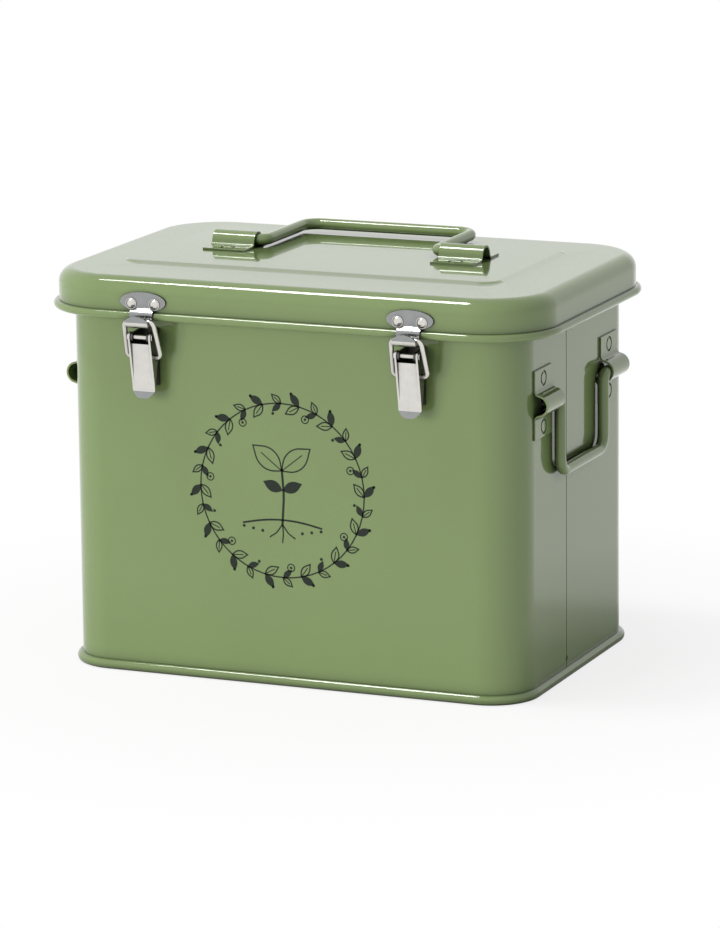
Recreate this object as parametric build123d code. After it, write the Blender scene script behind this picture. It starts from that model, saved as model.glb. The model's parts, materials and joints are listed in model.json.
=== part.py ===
from build123d import *

import os
from math import atan2, cos, pi, sin, sqrt, tan

# An enamelled steel box for packets of garden seed: a lid hinged at the back, two draw latches at
# the front, a wire handle on the lid and on each end, a partition and index cards inside.
# Millimetres. X is to the right, Y to the back, Z up. The origin is the middle of the base.

# ---- driving dimensions: box and lid -------------------------------------------------------
LID_WIDTH = 215.0            # over the rolled hem of the lid
LID_DEPTH = 145.0
BOX_HEIGHT = 161.0           # base to the flat border of the lid
SHEET = 0.8                  # enamelled sheet of the box and the lid
FITTING_SHEET = 0.8          # plated sheet of the clips, keepers and hinge leaves
OVERHANG_X = 10.3            # hem of the lid beyond the wall of the box, at the ends
OVERHANG_Y = 8.1             # the same at the front and back
WALL_CORNER_RADIUS = 18.0
RIM_CURL = 0.8               # outward curl of the box's top edge
RIM_CURL_HEIGHT = 1.6
RIM_CURL_ROUND = 0.72
RIM_GAP = 0.8                # rim of the box to the underside of the closed lid
BASE_BEAD_OUT = 2.3          # rolled seam around the base, beyond the wall
BASE_BEAD_HEIGHT = 4.0
BASE_BEAD_ROUND = 1.9
SEAM_Y = -11.3               # lapped seam of the wall, on the right end
SEAM_LAP = 7.0
SEAM_GROOVE_WIDTH = 0.5
SEAM_GROOVE_DEPTH = 0.35
SEAM_DOT_RADIUS = 1.1
SEAM_DOT_Z = 7.5

HEM_RADIUS = 1.6
HEM_OFFSET = 0.6             # centre of the hem beyond the face of the skirt
SKIRT_DROP = 14.6            # top of the lid down to the centre of the hem
SKIRT_TUCK = 1.0             # skirt sheet below the centre of the hem
LID_CORNER_RADIUS = 28.0
LID_EDGE_RADIUS = 6.0
PANEL_WIDTH = 163.0          # raised middle of the lid, at its foot
PANEL_DEPTH = 84.0
PANEL_CENTRE = (-3.0, 4.0)
PANEL_RISE = 0.9
PANEL_SLOPE = 2.2            # width of the step around the panel
PANEL_CORNER_RADIUS = 9.0

# ---- driving dimensions: wire handles and their clips --------------------------------------
BAIL_WIRE = 4.6
CLIP_LENGTH = 18.6
CLIP_SPAN = 27.4             # over both flanges
CLIP_ARCH_INSIDE = 3.6       # radius
CLIP_ARCH_RISE = 1.8         # centre of the arch above the wall
CLIP_FLARE = 1.9             # radius where the arch meets a flange
WIRE_UNDER_ARCH = 0.2        # top of the wire to the inside of the arch
WELD_RADIUS = 3.1            # ring pressed into the flange around each spot weld
WELD_RING_WIDTH = 0.9
WELD_RING_DEPTH = 0.5
ELBOW_RADIUS = 3.6           # of the wire's centre line
WIRE_END_INSET = 10.0        # end of the wire inside the outer end of its clip
CLIP_TO_LEG = 3.2            # inner end of a clip to the centre of the leg

END_BAIL_CENTRE_Y = -1.4
END_BAIL_AXIS_Z = 116.6
END_BAIL_SPACING = 48.8      # between the legs
END_BAIL_DROP = 30.2
END_BAIL_CORNER_RADIUS = 6.0

LID_BAIL_SPACING = 74.2
LID_BAIL_OFFSET = 4.5        # its axis behind the middle of the panel
LID_BAIL_LENGTH = 43.5
LID_BAIL_CORNER_RADIUS = 7.0

# ---- driving dimensions: draw latches ------------------------------------------------------
LATCH_SPACING = 113.2
LATCH_CENTRE_X = -1.1
KEEPER_LENGTH = 19.5
KEEPER_HEIGHT = 7.8
KEEPER_RELIEF = 0.1          # neck cut back around the heads of the rivets
KEEPER_ABOVE_HEM = 0.1
KEEPER_RIVET_SPACING = 10.0
KEEPER_RIVET_DROP = 0.8      # below the middle of the plate
HOOK_WIDTH = 9.8
HOOK_INSIDE = 1.9            # radius inside the hook
HOOK_BELOW_HEM = 1.3         # centre of the hook below the centre of the hem
HOOK_HEM_GAP = 0.0           # neck of the hook to the face of the hem
HOOK_LIP_RISE = 2.1          # tip of the lip above the centre of the hook
HOOK_LIP_ARCH = 7.7          # radius of the lip's round top
NECK_START = 1.3             # bend of the neck above the foot of the plate
NECK_DROP = 1.7              # fall of the neck from the plate to the front of the hem
NECK_TOP_RADIUS = 1.3        # centre line, where the neck leaves the plate
NECK_FOOT_RADIUS = 1.6       # and where it turns down in front of the hem
LOOP_WIRE = 2.0
LOOP_TOP_WIDTH = 12.6        # between wire centres
LOOP_BOTTOM_WIDTH = 14.4
LOOP_TOP_RADIUS = 2.2
LOOP_ELBOW_RADIUS = 1.8
LOOP_SEAT = 0.3              # top bar of the closed loop below the centre of the hook
LEVER_PIN_OUT = 8.9          # pin in front of the wall of the box
LEVER_PIN_BELOW_HEM = 8.0
LOOP_PIVOT_IN = 2.9          # loop's pivot behind the lever's pin
LOOP_PIVOT_DROP = 8.4        # and below it
LEVER_SHEET = 0.8
LEVER_WIDTH = 9.7
LEVER_FACE_TOP_DROP = 2.7    # pin down to the top of the lever's face
LEVER_FACE_LENGTH = 19.2
LEVER_FACE_LEAN = 2.3        # the face comes back towards the wall by this much
LEVER_TIP_LENGTH = 3.0
LEVER_TIP_FLARE = 1.4
LEVER_TIP_ROUND = 5.2        # radius of its round end, seen from the front
LEVER_FOLD_RADIUS = 1.4
LEVER_EAR_RADIUS = 2.0       # around the pin
LOOP_EAR_RADIUS = 2.2        # around the loop's pivot
LATCH_PIN_RADIUS = 1.0
LATCH_PIN_HEAD_RADIUS = 1.6
LATCH_PIN_HEAD = 0.5
RUNNING_CLEARANCE = 0.05     # radial, pins and wires in their holes
BRACKET_SIDE_GAP = 0.25      # bracket inside the ears of the lever
BRACKET_HEIGHT = 23.0
BRACKET_TOP_ABOVE_PIN = 2.5
BRACKET_EAR_HEIGHT = 8.5
BRACKET_EAR_RADIUS = 1.8
BRACKET_RIVET_PITCH = 6.0
BRACKET_RIVETS_HIGH = 2
BRACKET_RIVET_FROM_FOOT = 2.9

# ---- driving dimensions: lid hinges --------------------------------------------------------
HINGE_SPACING = 120.0
HINGE_WIDTH = 30.0
HINGE_BEHIND_HEM = 1.0       # pin inside the outermost line of the hem
HINGE_BELOW_HEM = 6.2
HINGE_PIN_RADIUS = 1.5
HINGE_PIN_END = 0.6          # pin beyond each end of the knuckles
KNUCKLE_GAP = 0.2
BODY_LEAF_DROP = 23.5        # pin down to the foot of the leaf
BODY_LEAF_JOGGLE = 4.5       # pin down to the start of the bend towards the wall
LID_LEAF_TOP = 8.4           # top of the leaf above the centre of the hem
LEAF_BEND_RADIUS = 1.3
LEAF_BEND_TOP = 1.2          # bends of the lid's leaf over the hem, from the foot of the keepers
LEAF_BEND_FOOT = -0.4
HINGE_RIVET_PITCH = 10.0
HINGE_RIVETS = 3

# ---- driving dimensions: rivets, partition and cards ---------------------------------------
RIVET_SHANK = 1.2            # keeper rivets, radius
RIVET_HEAD = 2.3
RIVET_DOME = 1.2
RIVET_WASHER = 0.3           # thin rim under the dome
HINGE_RIVET_SHANK = 1.0
HINGE_RIVET_HEAD = 2.0
HINGE_RIVET_DOME = 1.0
HINGE_RIVET_EDGE = 0.3       # head to the edge of its leaf
SMALL_RIVET_SHANK = 0.8
SMALL_RIVET_HEAD = 1.6
SMALL_RIVET_DOME = 0.8
RIVET_TAIL = 0.8             # formed tail inside
HOLE_CUTTER = 12.0           # length of the tool that cuts a rivet's hole
PARTITION_HEIGHT = 125.0
PARTITION_FLANGE = 10.0
PARTITION_BEND = 1.6
CARD_WIDTH = 86.0
CARD_HEIGHT = 112.0
CARD_THICKNESS = 0.7
CARD_CORNER_RADIUS = 3.0
CARD_TAB_WIDTH = 24.0
CARD_TAB_HEIGHT = 11.0
CARD_PITCH = 32.0
CARDS_PER_SIDE = 3

# ---- sizes worked out from the driving dimensions ------------------------------------------
SKIRT_WIDTH = LID_WIDTH - 2 * (HEM_OFFSET + HEM_RADIUS)
SKIRT_DEPTH = LID_DEPTH - 2 * (HEM_OFFSET + HEM_RADIUS)
SKIRT_Y = SKIRT_DEPTH / 2
HEM_Z = BOX_HEIGHT - SKIRT_DROP
HEM_FACE_Y = SKIRT_Y + HEM_OFFSET + HEM_RADIUS
WALL_WIDTH = LID_WIDTH - 2 * OVERHANG_X
WALL_DEPTH = LID_DEPTH - 2 * OVERHANG_Y
WALL_X = WALL_WIDTH / 2
WALL_Y = WALL_DEPTH / 2
RIM_Z = BOX_HEIGHT - SHEET - RIM_GAP
PANEL_Z = BOX_HEIGHT + PANEL_RISE

BAIL_RADIUS = BAIL_WIRE / 2
WIRE_ABOVE_WALL = CLIP_ARCH_RISE + CLIP_ARCH_INSIDE - WIRE_UNDER_ARCH - BAIL_RADIUS
CLIP_ARCH_OUTSIDE = CLIP_ARCH_INSIDE + FITTING_SHEET
CLIP_FLARE_Y = FITTING_SHEET + CLIP_FLARE
CLIP_FLARE_X = sqrt((CLIP_ARCH_OUTSIDE + CLIP_FLARE) ** 2 - (CLIP_FLARE_Y - CLIP_ARCH_RISE) ** 2)
WELD_OFFSET = (CLIP_SPAN / 2 + CLIP_ARCH_OUTSIDE + CLIP_FLARE / 2) / 2
CLIP_CENTRE_FROM_LEG = CLIP_TO_LEG + CLIP_LENGTH / 2
WIRE_END_FROM_LEG = CLIP_TO_LEG + CLIP_LENGTH - WIRE_END_INSET
END_BAIL_X = WALL_X + WIRE_ABOVE_WALL
LID_BAIL_Y = PANEL_CENTRE[1] + LID_BAIL_OFFSET
LID_BAIL_Z = PANEL_Z + WIRE_ABOVE_WALL

HALF_FITTING = FITTING_SHEET / 2
NECK_Y = -(HEM_FACE_Y + HOOK_HEM_GAP + HALF_FITTING)
HOOK_RADIUS = HOOK_INSIDE + HALF_FITTING
HOOK_Y = NECK_Y - HOOK_RADIUS
HOOK_Z = HEM_Z - HOOK_BELOW_HEM
KEEPER_FOOT_Z = HEM_Z + HEM_RADIUS + KEEPER_ABOVE_HEM
KEEPER_Z = KEEPER_FOOT_Z + KEEPER_HEIGHT / 2
NECK_TOP_Z = KEEPER_FOOT_Z + NECK_START
PIN_Y = -(WALL_Y + LEVER_PIN_OUT)
PIN_Z = HEM_Z - LEVER_PIN_BELOW_HEM
PIVOT_Y = PIN_Y + LOOP_PIVOT_IN
PIVOT_Z = PIN_Z - LOOP_PIVOT_DROP
LEVER_INSIDE = LEVER_WIDTH / 2 - LEVER_SHEET
BRACKET_HALF_WIDTH = LEVER_INSIDE - BRACKET_SIDE_GAP
BRACKET_FACE_Y = -(WALL_Y + LEVER_SHEET)
BRACKET_TOP_Z = PIN_Z + BRACKET_TOP_ABOVE_PIN
BRACKET_FOOT_Z = BRACKET_TOP_Z - BRACKET_HEIGHT

HINGE_Y = HEM_FACE_Y - HINGE_BEHIND_HEM
HINGE_Z = HEM_Z - HINGE_BELOW_HEM
KNUCKLE_RADIUS = HINGE_PIN_RADIUS + FITTING_SHEET
KNUCKLE_MIDDLE = HINGE_PIN_RADIUS + HALF_FITTING
KNUCKLE_PITCH = HINGE_WIDTH / 3

SIDES = {"left": -1, "right": 1}
ENDS = {"front": -1, "back": 1}
LATCH_X = {side: LATCH_CENTRE_X + sign * LATCH_SPACING / 2 for side, sign in SIDES.items()}
HINGE_X = {side: sign * HINGE_SPACING / 2 for side, sign in SIDES.items()}
KEEPER_RIVET_OFFSETS = (-KEEPER_RIVET_SPACING / 2, KEEPER_RIVET_SPACING / 2)
HINGE_RIVET_OFFSETS = [(i - (HINGE_RIVETS - 1) / 2) * HINGE_RIVET_PITCH for i in range(HINGE_RIVETS)]
BRACKET_RIVET_Z = [BRACKET_FOOT_Z + BRACKET_RIVET_FROM_FOOT + i * BRACKET_RIVET_PITCH for i in range(BRACKET_RIVETS_HIGH)]
LID_LEAF_RIVET_Z = HEM_Z + LID_LEAF_TOP - HINGE_RIVET_HEAD - HINGE_RIVET_EDGE
BODY_LEAF_RIVET_Z = HINGE_Z - BODY_LEAF_DROP + 2 * HINGE_RIVET_HEAD


# ---- shared shapes -------------------------------------------------------------------------
def bend(before, corner, after, radius):
    """Start, middle and end of the arc that rounds a corner of a path, in two or three dimensions."""
    back = (Vector(*before) - Vector(*corner)).normalized()
    ahead = (Vector(*after) - Vector(*corner)).normalized()
    half_angle = back.get_angle(ahead) * pi / 360
    reach = radius / tan(half_angle)
    inward = (back + ahead).normalized()
    middle = Vector(*corner) + inward * (radius / sin(half_angle) - radius)
    return Vector(*corner) + back * reach, middle, Vector(*corner) + ahead * reach


def round_path(points, radii):
    """A wire of straight runs joined by tangent arcs; one radius for each inner point."""
    edges = []
    start = Vector(*points[0])
    for before, corner, after, radius in zip(points, points[1:], points[2:], radii):
        arc_start, arc_middle, arc_end = bend(before, corner, after, radius)
        if (arc_start - start).length > 1e-6:
            edges.append(Edge.make_line(start, arc_start))
        edges.append(Edge.make_three_point_arc(arc_start, arc_middle, arc_end))
        start = arc_end
    edges.append(Edge.make_line(start, Vector(*points[-1])))
    return Wire(edges)


def folded_sheet(points, radii, thickness, width):
    """Sheet folded along a path of the YZ plane, width along X and centred on it."""
    path = round_path([(0, y, z) for y, z in points], radii)
    start = path ^ 0
    section = Plane(start.position, x_dir=(1, 0, 0), z_dir=path % 0) * Rectangle(width, thickness)
    return sweep(section, path=path)


def wire_form(points, radii, wire_radius):
    """Round wire bent along a path."""
    path = round_path(points, radii)
    return sweep((path ^ 0) * Circle(wire_radius), path=path)


def rounded_block(width, depth, corner_radius, foot, top):
    """Upright block with round corners between two heights."""
    outline = RectangleRounded(width, depth, corner_radius)
    return Pos(0, 0, foot) * extrude(outline, top - foot)


def disc(radius, thickness, centre, direction):
    """Cylinder that starts at a point and runs along a direction."""
    return Plane(centre, z_dir=direction) * Cylinder(
        radius, thickness, align=(Align.CENTER, Align.CENTER, Align.MIN)
    )


def rivet(centre, direction, grip, shank, head, dome):
    """Domed rivet whose head stands on a face; the grip is what it holds together behind it."""
    plane = Plane(centre, z_dir=direction)
    rim = Cylinder(head, RIVET_WASHER, align=(Align.CENTER, Align.CENTER, Align.MIN))
    dome_foot = head - RIVET_WASHER
    ball_radius = (dome_foot**2 + dome**2) / (2 * dome)
    cap = Pos(0, 0, RIVET_WASHER + dome - ball_radius) * Sphere(ball_radius)
    above_rim = Pos(0, 0, RIVET_WASHER) * Cylinder(
        dome_foot, dome, align=(Align.CENTER, Align.CENTER, Align.MIN)
    )
    stem = Cylinder(shank, grip, align=(Align.CENTER, Align.CENTER, Align.MAX))
    tail = Pos(0, 0, -grip) * Cylinder(
        head - 2 * RIVET_WASHER, RIVET_TAIL, align=(Align.CENTER, Align.CENTER, Align.MAX)
    )
    return plane * (rim + (cap & above_rim) + stem + tail)


def holes_along_y(points, radius):
    """Cutters through any wall that faces the front or the back."""
    return [
        Pos(x, y, z) * Rot(90, 0, 0) * Cylinder(radius, HOLE_CUTTER)
        for x, y, z in points
    ]


# ---- rivet places --------------------------------------------------------------------------
KEEPER_RIVETS = {
    side: [(x + dx, -SKIRT_Y - FITTING_SHEET, KEEPER_Z - KEEPER_RIVET_DROP) for dx in KEEPER_RIVET_OFFSETS]
    for side, x in LATCH_X.items()
}
BRACKET_RIVETS = {side: [(x, BRACKET_FACE_Y, z) for z in BRACKET_RIVET_Z] for side, x in LATCH_X.items()}
LID_LEAF_RIVETS = {
    side: [(x + dx, SKIRT_Y + FITTING_SHEET, LID_LEAF_RIVET_Z) for dx in HINGE_RIVET_OFFSETS]
    for side, x in HINGE_X.items()
}
BODY_LEAF_RIVETS = {
    side: [(x + dx, WALL_Y + FITTING_SHEET, BODY_LEAF_RIVET_Z) for dx in HINGE_RIVET_OFFSETS]
    for side, x in HINGE_X.items()
}


def rivet_group(places, direction, grip, size):
    """Identical rivets as separate solids of one node."""
    return Compound([rivet(place, direction, grip, *size).solid() for place in places])


# ---- box -----------------------------------------------------------------------------------
def body_wall():
    """Drawn round the box from one sheet, lapped on the right end, with its top edge curled out."""
    wall = rounded_block(WALL_WIDTH, WALL_DEPTH, WALL_CORNER_RADIUS, SHEET, RIM_Z)
    curl = rounded_block(
        WALL_WIDTH + 2 * RIM_CURL,
        WALL_DEPTH + 2 * RIM_CURL,
        WALL_CORNER_RADIUS + RIM_CURL,
        RIM_Z - RIM_CURL_HEIGHT,
        RIM_Z,
    )
    curl_edges = curl.edges().group_by(Axis.Z)
    curl = fillet(curl_edges[0] + curl_edges[-1], RIM_CURL_ROUND)
    cavity = rounded_block(
        WALL_WIDTH - 2 * SHEET,
        WALL_DEPTH - 2 * SHEET,
        WALL_CORNER_RADIUS - SHEET,
        0,
        BOX_HEIGHT,
    )
    lap_height = RIM_Z - RIM_CURL_HEIGHT - SHEET
    inner_lap = Pos(WALL_X - 3 * SHEET / 2, SEAM_Y, SHEET + lap_height / 2) * Box(
        SHEET, SEAM_LAP, lap_height
    )
    groove = Pos(WALL_X - SEAM_GROOVE_DEPTH / 2, SEAM_Y, SHEET + lap_height / 2) * Box(
        SEAM_GROOVE_DEPTH, SEAM_GROOVE_WIDTH, lap_height
    )
    dot = disc(SEAM_DOT_RADIUS, SEAM_GROOVE_DEPTH, (WALL_X, SEAM_Y, SEAM_DOT_Z), (-1, 0, 0))
    shell = wall + curl - cavity + inner_lap - groove - dot
    bracket_holes = [place for side in SIDES for place in BRACKET_RIVETS[side]]
    leaf_holes = [place for side in SIDES for place in BODY_LEAF_RIVETS[side]]
    shell -= holes_along_y(bracket_holes, SMALL_RIVET_SHANK)
    shell -= holes_along_y(leaf_holes, HINGE_RIVET_SHANK)
    return shell


def base_pan():
    """Floor whose edge is rolled around the foot of the wall."""
    pan = rounded_block(
        WALL_WIDTH + 2 * BASE_BEAD_OUT,
        WALL_DEPTH + 2 * BASE_BEAD_OUT,
        WALL_CORNER_RADIUS + BASE_BEAD_OUT,
        0,
        BASE_BEAD_HEIGHT,
    )
    pan_edges = pan.edges().group_by(Axis.Z)
    pan = fillet(pan_edges[0] + pan_edges[-1], BASE_BEAD_ROUND)
    return pan - rounded_block(WALL_WIDTH, WALL_DEPTH, WALL_CORNER_RADIUS, SHEET, BOX_HEIGHT)


def partition():
    """Folded sheet across the middle, its flanges spot-welded to the front and back walls."""
    end_y = WALL_Y - SHEET * 3 / 2
    points = [(PARTITION_FLANGE, -end_y), (0, -end_y), (0, end_y), (-PARTITION_FLANGE, end_y)]
    path = round_path([(x, y, SHEET) for x, y in points], [PARTITION_BEND, PARTITION_BEND])
    section = Plane(path @ 0, x_dir=(0, 0, 1), z_dir=path % 0) * Pos(PARTITION_HEIGHT / 2, 0) * Rectangle(
        PARTITION_HEIGHT, SHEET
    )
    return sweep(section, path=path)


def index_card(side, index):
    """Card with a tab, standing on the floor; the tabs step across from front to back."""
    lane_centre = SIDES[side] * (WALL_X - SHEET) / 2
    place_y = (index - (CARDS_PER_SIDE - 1) / 2) * CARD_PITCH
    tab_step = (CARD_WIDTH - CARD_TAB_WIDTH - 4 * CARD_CORNER_RADIUS) / (CARDS_PER_SIDE - 1)
    tab_x = (index - (CARDS_PER_SIDE - 1) / 2) * tab_step
    sheet = Pos(0, CARD_HEIGHT / 2) * RectangleRounded(CARD_WIDTH, CARD_HEIGHT, CARD_CORNER_RADIUS)
    tab = Pos(tab_x, CARD_HEIGHT) * RectangleRounded(
        CARD_TAB_WIDTH, 2 * CARD_TAB_HEIGHT, CARD_CORNER_RADIUS
    )
    plane = Plane((lane_centre, place_y + CARD_THICKNESS / 2, SHEET), x_dir=(1, 0, 0), z_dir=(0, -1, 0))
    return plane * extrude(sheet + tab, CARD_THICKNESS)


# ---- lid -----------------------------------------------------------------------------------
def raised_panel(outset, base_z):
    """Frustum of the raised panel; the inside of the sheet is the same shape drawn in."""
    def outline(inset, z):
        return Pos(*PANEL_CENTRE, z) * RectangleRounded(
            PANEL_WIDTH - 2 * (outset + inset),
            PANEL_DEPTH - 2 * (outset + inset),
            PANEL_CORNER_RADIUS - inset,
        )
    return loft([outline(0, base_z), outline(PANEL_SLOPE, base_z + PANEL_RISE)])


def lid_shell():
    """Pressed lid: raised panel, rounded top edge, skirt and a rolled hem."""
    outside = rounded_block(
        SKIRT_WIDTH, SKIRT_DEPTH, LID_CORNER_RADIUS, HEM_Z - SKIRT_TUCK, BOX_HEIGHT
    )
    outside = fillet(outside.edges().group_by(Axis.Z)[-1], LID_EDGE_RADIUS)
    inside = rounded_block(
        SKIRT_WIDTH - 2 * SHEET,
        SKIRT_DEPTH - 2 * SHEET,
        LID_CORNER_RADIUS - SHEET,
        0,
        BOX_HEIGHT - SHEET,
    )
    inside = fillet(inside.edges().group_by(Axis.Z)[-1], LID_EDGE_RADIUS - SHEET)
    hem_path = Pos(0, 0, HEM_Z) * RectangleRounded(
        SKIRT_WIDTH + 2 * HEM_OFFSET, SKIRT_DEPTH + 2 * HEM_OFFSET, LID_CORNER_RADIUS + HEM_OFFSET
    ).wire()
    hem = sweep((hem_path ^ 0) * Circle(HEM_RADIUS), path=hem_path)
    shell = outside + raised_panel(0, BOX_HEIGHT) - raised_panel(SHEET, BOX_HEIGHT - SHEET) - inside + hem
    keeper_holes = [place for side in SIDES for place in KEEPER_RIVETS[side]]
    leaf_holes = [place for side in SIDES for place in LID_LEAF_RIVETS[side]]
    shell -= holes_along_y(keeper_holes, RIVET_SHANK)
    return shell - holes_along_y(leaf_holes, HINGE_RIVET_SHANK)


# ---- wire handles --------------------------------------------------------------------------
def clip_hump(arch_radius, flare_radius):
    """Arch down to Y = 0 with a flare at each foot, around the shared centres."""
    middle = CLIP_ARCH_RISE
    climb = CLIP_FLARE_Y - middle
    top = middle + climb * arch_radius / (arch_radius + flare_radius)
    flares = [Pos(sign * CLIP_FLARE_X, CLIP_FLARE_Y) * Circle(flare_radius) for sign in SIDES.values()]
    root = Pos(0, top / 2) * Rectangle(2 * CLIP_FLARE_X, top)
    return Pos(0, middle) * Circle(arch_radius) + (root - flares[0] - flares[1])


def saddle_clip():
    """Omega clip: flanges along X, arch along Y, length along Z, its feet on Y = 0."""
    foot = Pos(0, FITTING_SHEET / 2) * Rectangle(CLIP_SPAN, FITTING_SHEET)
    section = foot + clip_hump(CLIP_ARCH_OUTSIDE, CLIP_FLARE)
    section -= clip_hump(CLIP_ARCH_INSIDE, CLIP_FLARE + FITTING_SHEET)
    section -= Pos(0, -CLIP_SPAN / 2) * Rectangle(CLIP_SPAN, CLIP_SPAN)
    clip = Pos(0, 0, -CLIP_LENGTH / 2) * extrude(section, CLIP_LENGTH)
    for sign in SIDES.values():
        weld = Plane((sign * WELD_OFFSET, FITTING_SHEET, 0), z_dir=(0, -1, 0))
        ring = Circle(WELD_RADIUS) - Circle(WELD_RADIUS - WELD_RING_WIDTH)
        clip -= weld * extrude(ring, WELD_RING_DEPTH)
    return clip


def end_clip(side, end):
    """Clip spot-welded to an end wall."""
    offset = END_BAIL_SPACING / 2 + CLIP_CENTRE_FROM_LEG
    centre = (SIDES[side] * WALL_X, END_BAIL_CENTRE_Y + ENDS[end] * offset, END_BAIL_AXIS_Z)
    return Plane(centre, x_dir=(0, 0, SIDES[side]), z_dir=(0, 1, 0)) * saddle_clip()


def lid_clip(side):
    """Clip spot-welded to the raised panel."""
    offset = LID_BAIL_SPACING / 2 + CLIP_CENTRE_FROM_LEG
    centre = (PANEL_CENTRE[0] + SIDES[side] * offset, LID_BAIL_Y, PANEL_Z)
    return Plane(centre, x_dir=(0, 1, 0), z_dir=(1, 0, 0)) * saddle_clip()


def bail(spacing, reach, corner_radius, plane):
    """Handle of one wire: its ends turn outwards into the clips; X runs along the clips."""
    leg = spacing / 2
    end = leg + WIRE_END_FROM_LEG
    points = [(-end, 0, 0), (-leg, 0, 0), (-leg, reach, 0), (leg, reach, 0), (leg, 0, 0), (end, 0, 0)]
    radii = [ELBOW_RADIUS, corner_radius, corner_radius, ELBOW_RADIUS]
    return plane * wire_form(points, radii, BAIL_RADIUS)


def end_bail(side):
    """Handle that hangs down an end of the box."""
    origin = (SIDES[side] * END_BAIL_X, END_BAIL_CENTRE_Y, END_BAIL_AXIS_Z)
    hanging = Plane(origin, x_dir=(0, 1, 0), z_dir=(1, 0, 0))
    return bail(END_BAIL_SPACING, -END_BAIL_DROP, END_BAIL_CORNER_RADIUS, hanging)


def lid_bail():
    """Handle that lies folded back on the lid."""
    lying = Plane((PANEL_CENTRE[0], LID_BAIL_Y, LID_BAIL_Z), x_dir=(1, 0, 0), z_dir=(0, 0, 1))
    return bail(LID_BAIL_SPACING, LID_BAIL_LENGTH, LID_BAIL_CORNER_RADIUS, lying)


# ---- draw latches --------------------------------------------------------------------------
def keeper_plate():
    """Flat oval plate."""
    outline = Ellipse(KEEPER_LENGTH / 2, KEEPER_HEIGHT / 2)
    return Plane((0, -SKIRT_Y, KEEPER_Z), x_dir=(1, 0, 0), z_dir=(0, -1, 0)) * extrude(
        outline, FITTING_SHEET
    )


def keeper(side):
    """Plate riveted to the skirt, its neck bent over the hem into an upturned hook."""
    plate_y = -SKIRT_Y - HALF_FITTING
    hook_foot_z = HOOK_Z - HOOK_RADIUS
    lip_y = HOOK_Y - HOOK_RADIUS
    tip_z = HOOK_Z + HOOK_LIP_RISE
    points = [
        (plate_y, KEEPER_Z + FITTING_SHEET),
        (plate_y, NECK_TOP_Z),
        (NECK_Y, NECK_TOP_Z - NECK_DROP),
        (NECK_Y, hook_foot_z),
        (lip_y, hook_foot_z),
        (lip_y, tip_z),
    ]
    radii = [NECK_TOP_RADIUS, NECK_FOOT_RADIUS, HOOK_RADIUS, HOOK_RADIUS]
    hook = folded_sheet(points, radii, FITTING_SHEET, HOOK_WIDTH)
    beyond = Pos(0, lip_y, tip_z) * Box(2 * HOOK_WIDTH, 2 * HOOK_INSIDE, HOOK_WIDTH)
    arch = Pos(0, lip_y, tip_z - HOOK_LIP_ARCH) * Rot(90, 0, 0) * Cylinder(HOOK_LIP_ARCH, 3 * HOOK_INSIDE)
    heads = holes_along_y(
        [(dx, plate_y, KEEPER_Z - KEEPER_RIVET_DROP) for dx in KEEPER_RIVET_OFFSETS], RIVET_HEAD + KEEPER_RELIEF
    )
    hook = hook - (beyond - arch) - heads
    whole = Pos(LATCH_X[side], 0, 0) * (keeper_plate() + hook)
    return whole - holes_along_y(KEEPER_RIVETS[side], RIVET_SHANK)


def ear_hull(circles, half_width):
    """Pair of plates inside a half width, each the hull of circles in the YZ plane."""
    edges = [edge for y, z, radius in circles for edge in (Pos(y, z) * Circle(radius)).edges()]
    outline = make_hull(edges)
    plates = []
    for sign in SIDES.values():
        start = min(sign * half_width, sign * (half_width - LEVER_SHEET))
        plates.append(Plane.YZ.offset(start) * extrude(outline, LEVER_SHEET))
    return plates[0] + plates[1]


def along_x(radius, half_width, y, z):
    """Rod or cutter across the middle plane."""
    return Pos(0, y, z) * Rot(0, 90, 0) * Cylinder(radius, 2 * half_width)


def latch_base(side):
    """Bracket riveted to the wall, with two ears for the lever's pin."""
    half_sheet = LEVER_SHEET / 2
    plate = Pos(0, -WALL_Y - half_sheet, (BRACKET_FOOT_Z + BRACKET_TOP_Z) / 2) * Box(
        2 * BRACKET_HALF_WIDTH, LEVER_SHEET, BRACKET_HEIGHT
    )
    root_y = -WALL_Y - half_sheet
    ears = ear_hull(
        [
            (PIN_Y, PIN_Z, BRACKET_EAR_RADIUS),
            (root_y, BRACKET_TOP_Z - half_sheet, half_sheet),
            (root_y, BRACKET_TOP_Z - BRACKET_EAR_HEIGHT, half_sheet),
        ],
        BRACKET_HALF_WIDTH,
    )
    bracket = plate + ears - along_x(LATCH_PIN_RADIUS, LEVER_WIDTH, PIN_Y, PIN_Z)
    return Pos(LATCH_X[side], 0, 0) * bracket - holes_along_y(BRACKET_RIVETS[side], SMALL_RIVET_SHANK)


def latch_pin(side):
    """Headed pin through the bracket and the ears of the lever."""
    head_start = LEVER_WIDTH / 2 + RUNNING_CLEARANCE
    pin = along_x(LATCH_PIN_RADIUS, head_start, PIN_Y, PIN_Z)
    for sign in SIDES.values():
        pin += disc(LATCH_PIN_HEAD_RADIUS, LATCH_PIN_HEAD, (sign * head_start, PIN_Y, PIN_Z), (sign, 0, 0))
    return Pos(LATCH_X[side], 0, 0) * pin


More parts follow.
